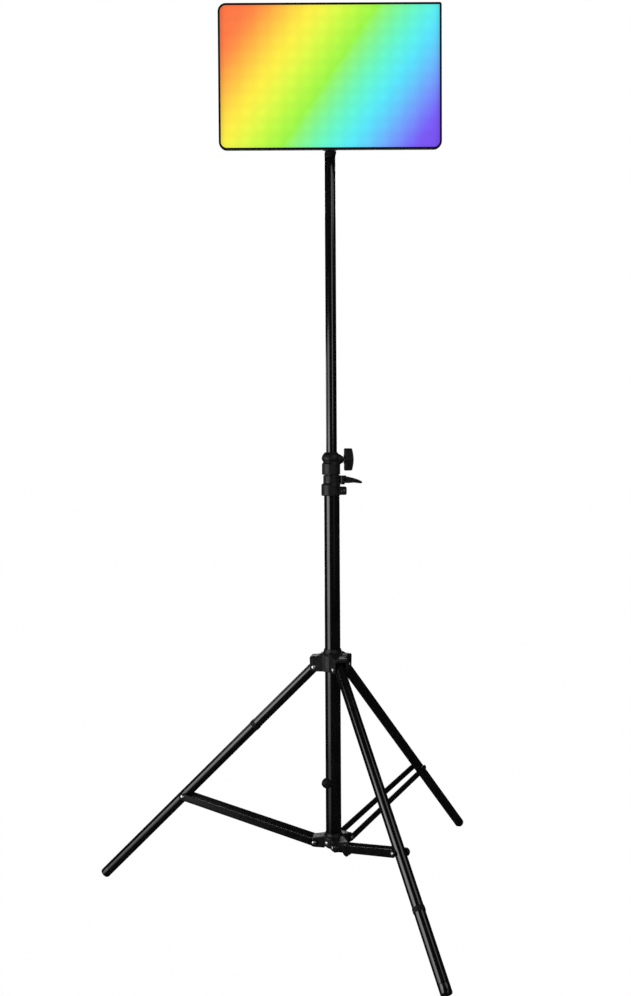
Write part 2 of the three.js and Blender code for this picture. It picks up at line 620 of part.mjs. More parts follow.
function frontBezel() {
  const back = PANEL_FRONT + RIM_DEPTH;
  return cut(
    panelPlate(0, PANEL_FRONT, back),
    panelPlate(RIM_LIP, PANEL_FRONT - 1, back + 1),
    panelPlate(RIM_WALL, PANEL_FRONT + 1.2, back + 1),
  );
}

function diffuser() {
  return panelPlate(RIM_WALL + 0.3, PANEL_FRONT + 1.4, PANEL_FRONT + 3.4);
}

// panel-centred plate with its back edge bevelled by inset (across) and depth (along Y)
function bevelledPlate(width, height, radii, y0, y1, inset, depth) {
  const shape = roundedShape(width - 2 * inset, height - 2 * inset,
    radii.map((radius) => Math.max(radius - inset, 0.6)));
  const geo = new THREE.ExtrudeGeometry(shape, {
    depth: y1 - y0 - depth,
    bevelThickness: depth,
    bevelSize: inset,
    bevelSegments: 1,
    curveSegments: 4,
  });
  const bothBevels = solid(geo.rotateX(Math.PI / 2).translate(0, y1 - depth, PANEL_Z));
  return cut(bothBevels,
    block(-width, y0 - depth - 1, PANEL_Z - height, width, y0, PANEL_Z + height));
}

// rectangular opening in the back, with a small gap round what it holds
function backOpening({ width, height, x, z }) {
  const halfW = width / 2 + 0.3, halfH = height / 2 + 0.3;
  return block(x - halfW, -40, z - halfH, x + halfW, -20, z + halfH);
}

// tray behind the rim and a raised electronics box
function rearHousing() {
  const tray = bevelledPlate(
    PANEL_W - 1, PANEL_H - 1, panelCorners(0.5), TRAY_FRONT, TRAY_BACK, 3.6, 5.6);
  const box = bevelledPlate(
    BOX_W, BOX_H, [12, 12, 12, 12], TRAY_BACK - 1, PANEL_BACK, 3.0, 4.0);
  const hollow = (width, height, radius, back) => plate(
    width - 14, height - 14, radius, TRAY_FRONT - 1, back - 2.0, 0, PANEL_Z);
  const slotPitch = 11, slotWidth = 5;
  const coolingSlots = [0, 1, 2, 3].map((i) => {
    const x = -101 + i * slotPitch;
    return block(x, -40, 1178, x + slotWidth, -20, 1218);
  });
  return cut(
    join(tray, box),
    hollow(PANEL_W, PANEL_H, 5, TRAY_BACK),
    hollow(BOX_W, BOX_H, 6, PANEL_BACK),
    backHole(1.9, -SCREW_X, TILT_Z),
    backHole(1.9, SCREW_X, TILT_Z),
    ...CONTROL_X.map((x) => backHole(5.3, x, BUTTON_Z)),
    ...CONTROL_X.map((x) => backHole(2.6, x, DIAL_Z)),
    backOpening(DISPLAY),
    backOpening(DC_BODY),
    backHole(2.3, LATCH_X, LATCH_Z),
    ...coolingSlots,
  );
}

// one plate with raised emitters facing the diffuser
function ledBoard() {
  const columns = 7, rows = 4, pitchX = 42, pitchZ = 44, half = 1.8;
  let board = plate(PANEL_W - 16, PANEL_H - 16, 6, -41.0, -39.4, 0, PANEL_Z);
  for (let i = 0; i < columns; i += 1) {
    for (let j = 0; j < rows; j += 1) {
      const x = (i - (columns - 1) / 2) * pitchX;
      const z = PANEL_Z + (j - (rows - 1) / 2) * pitchZ;
      board = board.add(block(x - half, -41.9, z - half, x + half, -40.9, z + half));
    }
  }
  return board;
}

const controlBoard = () => plate(70, 92, 2, -37.6, -36.0, 73, 1168);
const displayWindow = () => plate(
  DISPLAY.width, DISPLAY.height, 1.5, -31.6, -29.7, DISPLAY.x, DISPLAY.z);

const button = (x) => turned([
  [0, -33.6], [4.9, -33.6], [4.9, -28.9], [4.3, -28.2], [0, -28.0],
], alongY(x, 0, BUTTON_Z), 18);

function dial() {
  const body = turned([
    [0, -33.6], [2.2, -33.6], [2.2, -29.6], [8.6, -29.6],
    [9.4, -28.8], [9.0, -21.8], [8.2, -21.0], [0, -20.8],
  ], alongY());
  return fluted(body, alongY, { ringR: 9.4, radius: 1.3, from: -28.4, to: -15 });
}

function dcSocket() {
  const { width, height, x, z } = DC_BODY;
  const flange = plate(15, 11, 1.5, -29.8, -28.6, x, z);
  const body = plate(width, height, 1, -34.5, -29.0, x, z);
  return cut(join(flange, body), bar(2.6, -33.0, -20, alongY(x, 0, z), 18));
}
piece('front_bezel', frontBezel(), BEZEL);
piece('diffuser', diffuser(), DIFFUSER);
piece('rear_housing', rearHousing(), HOUSING);
piece('led_board', ledBoard(), WHITE_BOARD);
piece('control_board', controlBoard(), GREEN_BOARD);
piece('display_window', displayWindow(), DARK_GLASS);
['power_button', 'mode_button'].forEach((name, i) => piece(name, button(CONTROL_X[i]), BUTTON));
['brightness_dial', 'colour_dial'].forEach((name, i) => {
  piece(name, dial(), DARK_KNOB).position.set(CONTROL_X[i], 0, DIAL_Z);
});
piece('dc_socket', dcSocket(), SOCKET);

// ---------------------------------------------------------------- battery
const BATTERY_Z = 1188;
const RAIL_IN = 15.2, RAIL_OUT = 18.6, RAIL_LIP_IN = 13.4;
const RAIL_Z0 = 1156, RAIL_Z1 = 1216;

// plate with a lipped rail on each side
function batteryPlate() {
  const railBlock = (sign, inner, y0) => block(
    sign * inner, y0, RAIL_Z0, sign * RAIL_OUT, PANEL_BACK + 5.6, RAIL_Z1);
  const rails = [1, -1].flatMap((sign) => [
    railBlock(sign, RAIL_IN, PANEL_BACK + 3.0),
    railBlock(sign, RAIL_LIP_IN, PANEL_BACK + 4.4),
  ]);
  const base = plate(44, 76, 3, PANEL_BACK + 0.2, PANEL_BACK + 3.2, 0, BATTERY_Z);
  return cut(join(base, ...rails), backHole(3.4, LATCH_X, LATCH_Z, 18));
}

// case with a T-shaped tongue held under the lips of the rails
function batteryPack() {
  const tongueZ0 = RAIL_Z0 + 2;
  return join(
    prismY(roundedShape(38.4, 70, 2.5), -24, -4, { bevel: 1, place: moved(0, 0, BATTERY_Z) }),
    block(-13.0, -26.4, tongueZ0, 13.0, -23.0, RAIL_Z1),
    block(-14.8, -26.4, tongueZ0, 14.8, -25.9, RAIL_Z1),
  );
}

const batteryLatch = () => turned([
  [0, -33.4], [1.9, -33.4], [1.9, -26.6], [3.0, -26.6], [3.0, -25.0], [2.4, -24.4], [0, -24.4],
], alongY(LATCH_X, 0, LATCH_Z), 14);
piece('battery_plate', batteryPlate(), BLACK_PLASTIC);
piece('battery_pack', batteryPack(), BATTERY);
piece('battery_latch', batteryLatch(), RED_LATCH);

export default model;
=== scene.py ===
"""A light panel on a telescopic mast with three folding legs, standing on its feet.

The mast runs up the Z axis from the origin and the lit face of the panel looks towards -Y.
Left and right are as seen from the front, so +X is right. Units are metres.
"""
import json
import math

import bmesh
import bpy
from mathutils import Matrix, Vector


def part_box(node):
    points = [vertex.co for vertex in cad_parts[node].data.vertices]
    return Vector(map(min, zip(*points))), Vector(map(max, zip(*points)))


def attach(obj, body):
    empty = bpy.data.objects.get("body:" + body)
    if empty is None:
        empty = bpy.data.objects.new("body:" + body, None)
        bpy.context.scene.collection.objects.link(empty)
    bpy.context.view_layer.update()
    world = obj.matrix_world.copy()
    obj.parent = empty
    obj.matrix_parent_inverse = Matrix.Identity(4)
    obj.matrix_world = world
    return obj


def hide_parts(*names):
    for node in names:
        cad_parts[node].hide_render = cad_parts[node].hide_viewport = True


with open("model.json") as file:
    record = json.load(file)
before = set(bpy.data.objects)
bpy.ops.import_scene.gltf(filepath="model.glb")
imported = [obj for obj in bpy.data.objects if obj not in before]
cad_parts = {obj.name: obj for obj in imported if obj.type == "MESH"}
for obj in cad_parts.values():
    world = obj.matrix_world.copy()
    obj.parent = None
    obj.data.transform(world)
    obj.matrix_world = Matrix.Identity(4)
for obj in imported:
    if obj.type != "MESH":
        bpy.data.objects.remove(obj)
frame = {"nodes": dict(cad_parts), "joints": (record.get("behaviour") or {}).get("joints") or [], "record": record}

MM = 0.001
Z_UP = Vector((0, 0, 1))
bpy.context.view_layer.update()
FLOOR_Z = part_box("leg_a_foot")[0].z
DIFFUSER_LOW, DIFFUSER_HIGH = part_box("diffuser")
JOINTS = {joint["name"]: joint for joint in frame["joints"]}
SLOT_OF = {part["node"]: part["material_slot"] for part in frame["record"]["subparts"]}
BODY_OF = {
    node: body for body, nodes in frame["record"]["behaviour"]["bodies"].items() for node in nodes
}
scene = bpy.context.scene


# ------------------------------------------------------------------ material nodes
class Tree:
    """A material with a principled surface, and short ways to add nodes to it."""

    def __init__(self, name):
        self.material = bpy.data.materials.new(name)
        self.material.use_nodes = True
        self.node_tree = self.material.node_tree
        self.node_tree.nodes.clear()
        self.out = self.add("ShaderNodeOutputMaterial")
        self.bsdf = self.add("ShaderNodeBsdfPrincipled")
        self.link(self.bsdf.outputs["BSDF"], self.out.inputs["Surface"])
        self.coords = self.add("ShaderNodeTexCoord").outputs["Object"]

    def add(self, kind):
        return self.node_tree.nodes.new(kind)

    def link(self, source, target):
        self.node_tree.links.new(source, target)

    def feed(self, source, target):
        """Sets an input to a number, or links it to an output."""
        if isinstance(source, (int, float)):
            target.default_value = source
        else:
            self.link(source, target)

    def mapped(self, scale):
        node = self.add("ShaderNodeMapping")
        node.inputs["Scale"].default_value = scale
        self.link(self.coords, node.inputs["Vector"])
        return node.outputs["Vector"]

    def split(self, vector):
        node = self.add("ShaderNodeSeparateXYZ")
        self.link(vector, node.inputs[0])
        return node.outputs

    def noise(self, scale, detail=3.0, rough=0.55, vector=None):
        node = self.add("ShaderNodeTexNoise")
        node.inputs["Scale"].default_value = scale
        node.inputs["Detail"].default_value = detail
        node.inputs["Roughness"].default_value = rough
        self.link(vector or self.coords, node.inputs["Vector"])
        return node.outputs["Fac"]

    def math(self, operation, *values, clamp=False):
        node = self.add("ShaderNodeMath")
        node.operation = operation
        node.use_clamp = clamp
        for value, target in zip(values, node.inputs):
            self.feed(value, target)
        return node.outputs[0]

    def plus(self, first, second, clamp=False):
        return self.math("ADD", first, second, clamp=clamp)

    def minus(self, first, second):
        return self.math("SUBTRACT", first, second)

    def times(self, first, second, clamp=False):
        return self.math("MULTIPLY", first, second, clamp=clamp)

    def inside(self, value, limits):
        """1 between the two limits, 0 outside them."""
        return self.times(
            self.math("GREATER_THAN", value, limits[0]), self.math("LESS_THAN", value, limits[1]))

    def span(self, value, ends, to=(0.0, 1.0)):
        """Carries the range `ends` over to the range `to`, held at its ends."""
        node = self.add("ShaderNodeMapRange")
        node.clamp = True
        self.link(value, node.inputs["Value"])
        for key, number in zip(("From Min", "From Max", "To Min", "To Max"), (*ends, *to)):
            node.inputs[key].default_value = number
        return node.outputs["Result"]

    def mix(self, factor, *colours):
        """Blend of two colours, each an RGB tuple or an output."""
        node = self.add("ShaderNodeMix")
        node.data_type = "RGBA"
        self.link(factor, node.inputs[0])
        for target, colour in zip((node.inputs[6], node.inputs[7]), colours):
            if isinstance(colour, tuple):
                target.default_value = (*colour, 1.0)
            else:
                self.link(colour, target)
        return node.outputs[2]

    def edges(self, radius):
        """1 on outside edges, 0 on flats, from the rounded normal; also that normal."""
        bevel = self.add("ShaderNodeBevel")
        bevel.samples = 4
        bevel.inputs["Radius"].default_value = radius
        geometry = self.add("ShaderNodeNewGeometry")
        dot = self.add("ShaderNodeVectorMath")
        dot.operation = "DOT_PRODUCT"
        self.link(bevel.outputs["Normal"], dot.inputs[0])
        self.link(geometry.outputs["Normal"], dot.inputs[1])
        amount = self.span(dot.outputs["Value"], ends=(0.80, 0.995), to=(1.0, 0.0))
        return amount, bevel.outputs["Normal"]

    def facing_front(self):
        """1 where the piece itself faces -Y, 0 elsewhere, whatever its pose."""
        normal = self.split(self.add("ShaderNodeTexCoord").outputs["Normal"])
        return self.math("LESS_THAN", normal["Y"], -0.4)

    def bump(self, height, strength, distance, normal=None):
        node = self.add("ShaderNodeBump")
        node.inputs["Strength"].default_value = strength
        node.inputs["Distance"].default_value = distance
        self.link(height, node.inputs["Height"])
        if normal is not None:
            self.link(normal, node.inputs["Normal"])
        return node.outputs["Normal"]

    def surface(self, colour, roughness, normal, specular):
        self.link(colour, self.bsdf.inputs["Base Color"])
        self.link(roughness, self.bsdf.inputs["Roughness"])
        self.link(normal, self.bsdf.inputs["Normal"])
        self.bsdf.inputs["Specular IOR Level"].default_value = specular


# ------------------------------------------------------------------ materials
def finish_material(
    name, base, light, rough, grain, grain_height, grain_strength, wear, wear_amount, edge,
    metallic=0.0, stretch=None, coat=0.0, specular=0.5, cells=False, round_edges=True,
):
    """Two clouded tones, a roughness map, a fine grain and slightly worn edges."""
    cloud_scale = 18.0
    tree = Tree(name)
    clouds = tree.noise(scale=cloud_scale, detail=4.0, rough=0.6)
    fine = tree.mapped(stretch) if stretch else tree.coords
    streaks = tree.noise(scale=cloud_scale * 6, detail=3.0, rough=0.5, vector=fine)
    tone = tree.span(tree.times(clouds, streaks), ends=(0.12, 0.42))
    colour = tree.mix(tone, base, light)
    edge_amount, rounded = tree.edges(edge)
    scuffs = tree.span(tree.noise(scale=240.0, detail=5.0, rough=0.65), ends=(0.46, 0.66))
    worn = tree.times(tree.times(edge_amount, scuffs), wear_amount, clamp=True)
    colour = tree.mix(worn, colour, wear)
    roughness = tree.span(streaks, ends=(0.3, 0.7), to=rough)
    extra_rough_when_worn = 0.15
    roughness = tree.plus(roughness, tree.times(worn, extra_rough_when_worn), clamp=True)
    if cells:
        voronoi = tree.add("ShaderNodeTexVoronoi")
        voronoi.feature = "SMOOTH_F1"
        voronoi.inputs["Scale"].default_value = grain
        tree.link(tree.coords, voronoi.inputs["Vector"])
        height = voronoi.outputs["Distance"]
    else:
        height = tree.noise(scale=grain, detail=4.0, rough=0.6, vector=fine)
    normal = tree.bump(height, grain_strength, grain_height, rounded if round_edges else None)
    tree.surface(colour, roughness, normal, specular)
    tree.bsdf.inputs["Metallic"].default_value = metallic
    tree.bsdf.inputs["Coat Weight"].default_value = coat
    tree.bsdf.inputs["Coat Roughness"].default_value = 0.1
    return tree.material


# base, light: the two clouded tones; rough: lowest and highest roughness; grain: its scale, with
# its height in metres and bump strength; wear: colour of bared edges, with its amount;
# edge: radius of the shaded edge; stretch: scale of the grain along each axis
FINISHES = {
    "tube_black": dict(
        base=(0.0010, 0.0010, 0.0011), light=(0.0028, 0.0028, 0.0030), rough=(0.13, 0.18),
        grain=300.0, grain_height=0.00001, grain_strength=0.05, stretch=(1.0, 1.0, 0.15),
        coat=0.3, wear=(0.04, 0.04, 0.042), wear_amount=0.2, edge=0.0004, round_edges=False),
    "strip_black": dict(
        base=(0.0014, 0.0014, 0.0016), light=(0.0038, 0.0038, 0.0041), rough=(0.32, 0.44),
        grain=600.0, grain_height=0.00001, grain_strength=0.08,
        wear=(0.03, 0.03, 0.031), wear_amount=0.35, edge=0.0004, specular=0.28),
    "cast_plastic": dict(
        base=(0.0022, 0.0022, 0.0025), light=(0.0062, 0.0062, 0.0068), rough=(0.36, 0.50),
        grain=1500.0, grain_height=0.00004, grain_strength=0.25,
        wear=(0.035, 0.035, 0.037), wear_amount=0.4, edge=0.0006, specular=0.33),
    "knob_plastic": dict(
        base=(0.0018, 0.0018, 0.002), light=(0.005, 0.005, 0.0055), rough=(0.30, 0.42),
        grain=1100.0, grain_height=0.00004, grain_strength=0.22,
        wear=(0.035, 0.035, 0.037), wear_amount=0.4, edge=0.0005, specular=0.38),
    "foot_rubber": dict(
        base=(0.0016, 0.0016, 0.0017), light=(0.0045, 0.0045, 0.0047), rough=(0.50, 0.68),
        grain=800.0, grain_height=0.00004, grain_strength=0.3,
        wear=(0.02, 0.0195, 0.019), wear_amount=0.5, edge=0.0005, specular=0.22),
    "foot_plastic": dict(
        base=(0.0010, 0.0010, 0.0011), light=(0.0028, 0.0028, 0.0030), rough=(0.14, 0.20),
        grain=700.0, grain_height=0.00001, grain_strength=0.06, coat=0.3,
        wear=(0.03, 0.029, 0.028), wear_amount=0.2, edge=0.0004, round_edges=False),
    "rivet_steel": dict(
        base=(0.62, 0.62, 0.64), light=(0.80, 0.80, 0.82), rough=(0.30, 0.46), metallic=1.0,
        grain=700.0, grain_height=0.00003, grain_strength=0.25,
        wear=(0.42, 0.41, 0.40), wear_amount=0.4, edge=0.0004),
    "screw_steel": dict(
        base=(0.10, 0.10, 0.105), light=(0.17, 0.17, 0.178), rough=(0.30, 0.46), metallic=1.0,
        grain=900.0, grain_height=0.00002, grain_strength=0.25, stretch=(1.0, 6.0, 1.0),
        wear=(0.4, 0.4, 0.4), wear_amount=0.4, edge=0.0003),
    "bezel_plastic": dict(
        base=(0.0012, 0.0012, 0.0014), light=(0.0030, 0.0030, 0.0033), rough=(0.34, 0.46),
        grain=1300.0, grain_height=0.00002, grain_strength=0.15,
        wear=(0.02, 0.02, 0.021), wear_amount=0.3, edge=0.0004, specular=0.25),
    "shell_plastic": dict(
        base=(0.006, 0.006, 0.0067), light=(0.013, 0.013, 0.0142), rough=(0.42, 0.58),
        grain=1250.0, grain_height=0.00009, grain_strength=0.5, cells=True,
        wear=(0.055, 0.055, 0.058), wear_amount=0.35, edge=0.0008),
    "battery_plastic": dict(
        base=(0.008, 0.008, 0.0088), light=(0.016, 0.016, 0.0175), rough=(0.38, 0.55),
        grain=1500.0, grain_height=0.00006, grain_strength=0.4,
        wear=(0.07, 0.07, 0.07), wear_amount=0.5, edge=0.0008),
    "button_grey": dict(
        base=(0.030, 0.030, 0.033), light=(0.050, 0.050, 0.054), rough=(0.4, 0.55),
        grain=1300.0, grain_height=0.00005, grain_strength=0.3,
        wear=(0.12, 0.12, 0.12), wear_amount=0.4, edge=0.0005),
    "latch_red": dict(
        base=(0.28, 0.030, 0.026), light=(0.40, 0.050, 0.042), rough=(0.35, 0.5),
        grain=1200.0, grain_height=0.00004, grain_strength=0.3,
        wear=(0.5, 0.2, 0.18), wear_amount=0.4, edge=0.0004),
    "board_green": dict(
        base=(0.02, 0.10, 0.05), light=(0.04, 0.17, 0.09), rough=(0.3, 0.5),
        grain=700.0, grain_height=0.00003, grain_strength=0.3,
        wear=(0.4, 0.36, 0.2), wear_amount=0.3, edge=0.0003),
}


def display_material(low, high):
    """Dark window with two rows of plain segments glowing behind a glossy face."""
    # all in fractions of the window's width or height
    side_margin, columns, segment = 0.12, 12, (0.18, 0.82)
    upper_row, upper_lit_from = (0.58, 0.76), 0.36
    lower_row, lower_lit_from = (0.24, 0.42), 0.55
    glow = 0.45

    tree = Tree("display_dark")
    place_in = tree.split(tree.coords)
    across = tree.span(place_in["X"], ends=(low.x, high.x))
    upward = tree.span(place_in["Z"], ends=(low.z, high.z))
    columns_per_width = columns / (1 - 2 * side_margin)
    cells = tree.math("FRACT", tree.times(tree.minus(across, side_margin), columns_per_width))
    bars = tree.times(
        tree.inside(cells, segment), tree.inside(across, (side_margin, 1 - side_margin)))
    upper = tree.times(
        tree.inside(upward, upper_row), tree.math("GREATER_THAN", across, upper_lit_from))
    lower = tree.times(
        tree.inside(upward, lower_row), tree.math("GREATER_THAN", across, lower_lit_from))
    lit = tree.times(bars, tree.plus(upper, lower, clamp=True))
    rows = tree.plus(
        tree.inside(upward, upper_row), tree.inside(upward, lower_row), clamp=True)
    unlit = tree.times(bars, rows)
    fine = tree.noise(scale=300.0, detail=2.0)
    dark = tree.mix(fine, (0.004, 0.005, 0.007), (0.009, 0.011, 0.015))
    tree.surface(
        colour=tree.mix(unlit, dark, (0.03, 0.036, 0.04)),
        roughness=tree.span(
            tree.noise(scale=60.0, detail=4.0), ends=(0.3, 0.7), to=(0.22, 0.34)),
        normal=tree.bump(tree.noise(scale=500.0), strength=0.08, distance=0.00002),
        specular=0.3)
    tree.bsdf.inputs["Emission Color"].default_value = (0.55, 0.85, 1.0, 1.0)
    tree.link(tree.times(lit, glow), tree.bsdf.inputs["Emission Strength"])
    return tree.material


def board_material():
    """Light-emitting board: white lacquer towards the diffuser; its back is coloured dark as painted shade, for
    the shadow it lies in inside the housing.
    """
    tree = Tree("board_white")
    front = tree.facing_front()
    white = tree.mix(
        tree.noise(scale=18.0, detail=4.0), (0.72, 0.72, 0.69), (0.86, 0.86, 0.83))
    # painted shade: the back of the board is coloured dark to stand in for the shadow inside the housing
    painted_shade_back = tree.mix(
        tree.noise(scale=40.0, detail=4.0), (0.010, 0.011, 0.012), (0.020, 0.021, 0.023))
    tree.surface(
        colour=tree.mix(front, painted_shade_back, white),
        roughness=tree.span(
            tree.noise(scale=120.0, detail=3.0), ends=(0.3, 0.7), to=(0.45, 0.6)),
        normal=tree.bump(tree.noise(scale=900.0, detail=4.0), strength=0.2, distance=0.00002),
        specular=0.25)
    return tree.material


# place along the ramp, then the sRGB colour in steps of 1/255; upper left to lower right
GLOW_STOPS = [
    (0.00, (248, 113, 62)), (0.05, (253, 120, 70)), (0.09, (253, 125, 71)),
    (0.11, (254, 133, 72)), (0.13, (254, 143, 71)), (0.15, (253, 156, 70)),
    (0.19, (253, 182, 71)), (0.23, (253, 206, 71)), (0.27, (253, 228, 71)),
    (0.30, (252, 239, 71)), (0.33, (242, 244, 72)), (0.37, (225, 250, 73)),
    (0.41, (203, 250, 70)), (0.45, (181, 249, 71)), (0.496, (157, 246, 72)),
    (0.506, (152, 247, 94)), (0.53, (143, 246, 123)), (0.57, (124, 246, 159)),
    (0.61, (108, 246, 191)), (0.65, (98, 243, 219)), (0.69, (92, 236, 240)),
    (0.71, (90, 231, 247)), (0.73, (90, 222, 251)), (0.77, (100, 201, 252)),
    (0.81, (110, 174, 252)), (0.85, (117, 146, 252)), (0.88, (119, 122, 249)),
    (0.91, (121, 97, 248)), (0.93, (123, 87, 244)), (0.97, (119, 80, 236)),
    (1.00, (116, 75, 228)),
]


def linear(channel):
    """Linear value of an sRGB channel given from 0 to 255."""
    channel /= 255
    return channel / 12.92 if channel <= 0.04045 else ((channel + 0.055) / 1.055) ** 2.4


def glow_ramp(tree, factor):
    node = tree.add("ShaderNodeValToRGB")
    node.color_ramp.interpolation = "LINEAR"
    elements = node.color_ramp.elements
    while len(elements) > 1:
        elements.remove(elements[-1])
    for index, (position, rgb) in enumerate(GLOW_STOPS):
        element = elements.new(position) if index else elements[0]
        element.position = position
        element.color = (*map(linear, rgb), 1)
    tree.link(factor, node.inputs["Fac"])
    return node.outputs["Color"]


def glow_material(low, high):
    """Milky diffuser lit from behind: the colour runs diagonally across the face, with the faint
    blotches of the emitters behind it and a little less light along the rim."""
    centre = (low + high) / 2
    slant = 0.69  # how much a step down counts against a step to the right
    reach = 0.236  # slanted distance from the centre to either end of the ramp
    wobble_amount = 0.006
    pitch_x, pitch_z = 0.0225, 0.0211  # emitter spacing
    row_depth, crossing_depth = -0.013, 0.008  # how strongly the emitters show
    rim = (0.0012, 0.0075)  # distances from the edge over which the light comes up
    side_rim_level, top_rim_level = 0.80, 0.955

    tree = Tree("diffuser_glow")
    place_in = tree.split(tree.coords)
    from_centre_x = tree.minus(place_in["X"], centre.x)
    from_centre_z = tree.minus(place_in["Z"], centre.z)
    diagonal = tree.minus(from_centre_x, tree.times(from_centre_z, slant))
    factor = tree.plus(tree.times(diagonal, 0.5 / reach), 0.5, clamp=True)
    noise = tree.minus(tree.noise(scale=22.0, detail=2.0), 0.5)
    factor = tree.plus(factor, tree.times(noise, wobble_amount), clamp=True)
    colour = glow_ramp(tree, factor)

    across = tree.math("COSINE", tree.times(from_centre_x, 2 * math.pi / pitch_x))
    down = tree.math("COSINE", tree.times(from_centre_z, 2 * math.pi / pitch_z))
    spots = tree.plus(tree.times(tree.plus(across, down), row_depth), 1.0)
    spots = tree.plus(spots, tree.times(tree.times(across, down), crossing_depth))

    def rim_level(half_size, distance, level):
        from_edge = tree.minus(half_size, tree.math("ABSOLUTE", distance))
        return tree.span(from_edge, ends=rim, to=(level, 1.0))

    side_rim = rim_level((high.x - low.x) / 2, from_centre_x, side_rim_level)
    top_rim = rim_level((high.z - low.z) / 2, from_centre_z, top_rim_level)
    level = tree.times(spots, tree.times(side_rim, top_rim))
    level = tree.times(level, tree.facing_front())
    tree.link(colour, tree.bsdf.inputs["Emission Color"])
    tree.link(level, tree.bsdf.inputs["Emission Strength"])
    tree.surface(
        colour=tree.mix(
            tree.noise(scale=70.0, detail=4.0), (0.0018, 0.0018, 0.0018), (0.0035, 0.0035, 0.0034)),
        roughness=tree.span(
            tree.noise(scale=900.0, detail=3.0), ends=(0.3, 0.7), to=(0.5, 0.65)),
        normal=tree.bump(tree.noise(scale=2200.0, detail=2.0), strength=0.15, distance=0.00002),
        specular=0.03)
    return tree.material


MATERIALS = {name: finish_material(name, **finish) for name, finish in FINISHES.items()}
MATERIALS["display_dark"] = display_material(*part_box("display_window"))
MATERIALS["board_white"] = board_material()
MATERIALS["diffuser_glow"] = glow_material(DIFFUSER_LOW, DIFFUSER_HIGH)


# ------------------------------------------------------------------ placing pieces
def mm(*points):
    """Points given in millimetres, turned into metres."""
    return [(across * MM, along * MM) for across, along in points]


def dress(piece, node, angle):
    """Gives a piece its node's material, and smooth shading below an edge angle in degrees."""
    piece.data.materials.clear()
    piece.data.materials.append(MATERIALS[SLOT_OF[node]])
    piece.data.shade_smooth()
    piece.data.set_sharp_from_angle(angle=math.radians(angle))


def place(piece, node, angle=35.0):
    """Dresses a piece and lets it stand for a CAD node."""
    dress(piece, node, angle)
    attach(piece, BODY_OF[node])
    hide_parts(node)


def link_object(name, data):
    made = bpy.data.objects.new(name, data)
    scene.collection.objects.link(made)
    return made


def midpoint(node):
    low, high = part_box(node)
    return (low + high) / 2


def frame_from(origin, direction, hint=Z_UP):
    """Matrix at the origin given, with its Z axis along the direction."""
    z = Vector(direction).normalized()
    if abs(z.dot(hint)) > 0.99:
        hint = Vector((1, 0, 0))
    x = hint.cross(z).normalized()
    y = z.cross(x)
    matrix = Matrix((x, y, z)).transposed().to_4x4()
    matrix.translation = Vector(origin)
    return matrix


def joint_frame(name):
    return frame_from(JOINTS[name]["pos_m"], JOINTS[name]["axis"])


def frame_along_y(point):
    """Frame whose Z is world Y, measured from y = 0, through the point."""
    return frame_from((point[0], 0, point[2]), (0, 1, 0))


# ------------------------------------------------------------------ mesh helpers
def new_object(name, verts, faces):
    mesh = bpy.data.meshes.new(name)
    mesh.from_pydata([tuple(vert) for vert in verts], [], faces)
    mesh.validate()
    bm = bmesh.new()
    bm.from_mesh(mesh)
    bmesh.ops.remove_doubles(bm, verts=bm.verts, dist=1e-7)
    bmesh.ops.recalc_face_normals(bm, faces=bm.faces)
    bm.to_mesh(mesh)
    bm.free()
    return link_object(name, mesh)


def soften(profile, radius, steps):
    """Rounds the corners of a (radius, z) profile; one that starts on the axis stays open."""
    closed = profile[0][0] > 1e-9
    points = [Vector(point) for point in profile]
    last = len(points) - 1
    softened = []
    for i, corner in enumerate(points):
        if not closed and i in (0, last):
            softened.append(corner)
            continue
        back, ahead = points[i - 1] - corner, points[(i + 1) % len(points)] - corner
        if back.normalized().dot(ahead.normalized()) < -0.97:  # nearly straight
            softened.append(corner)
            continue
        cut = min(radius, back.length * 0.45, ahead.length * 0.45)
        start = corner + back.normalized() * cut
        end = corner + ahead.normalized() * cut
        for k in range(steps + 1):
            t = k / steps
            softened.append((1 - t) ** 2 * start + 2 * t * (1 - t) * corner + t ** 2 * end)
    return softened


def lathe(name, profile, matrix=None, *, segments, round_by=0.0003, steps=3, radial=None):
    """Turned piece. The profile is (radius, z), closed on itself or ending on the axis.
    radial(angle, radius, z) changes the radius round the piece."""
    closed = profile[0][0] > 1e-9
    points = soften(profile, round_by, steps) if round_by else [Vector(p) for p in profile]
    verts, rings = [], []
    for radius, z in points:
        if radius < 1e-9:
            rings.append([len(verts)])
            verts.append(Vector((0, 0, z)))
            continue
        rings.append([len(verts) + k for k in range(segments)])
        for k in range(segments):
            angle = 2 * math.pi * k / segments
            reach = radial(angle, radius, z) if radial else radius
            verts.append(Vector((reach * math.cos(angle), reach * math.sin(angle), z)))
    pairs = list(zip(rings, rings[1:])) + ([(rings[-1], rings[0])] if closed else [])
    faces = []
    for near, far in pairs:
        for k in range(segments):
            k2 = (k + 1) % segments
            if len(near) == 1:
                faces.append((near[0], far[k], far[k2]))
            elif len(far) == 1:
                faces.append((near[k], near[k2], far[0]))
            else:
                faces.append((near[k], near[k2], far[k2], far[k]))
    if matrix is not None:
        verts = [matrix @ vert for vert in verts]
    return new_object(name, verts, faces)


def place_lathe(node, process, profile, matrix=None, angle=35.0, **shape):
    place(lathe(f"{node}_{process}", profile, matrix, **shape), node, angle)


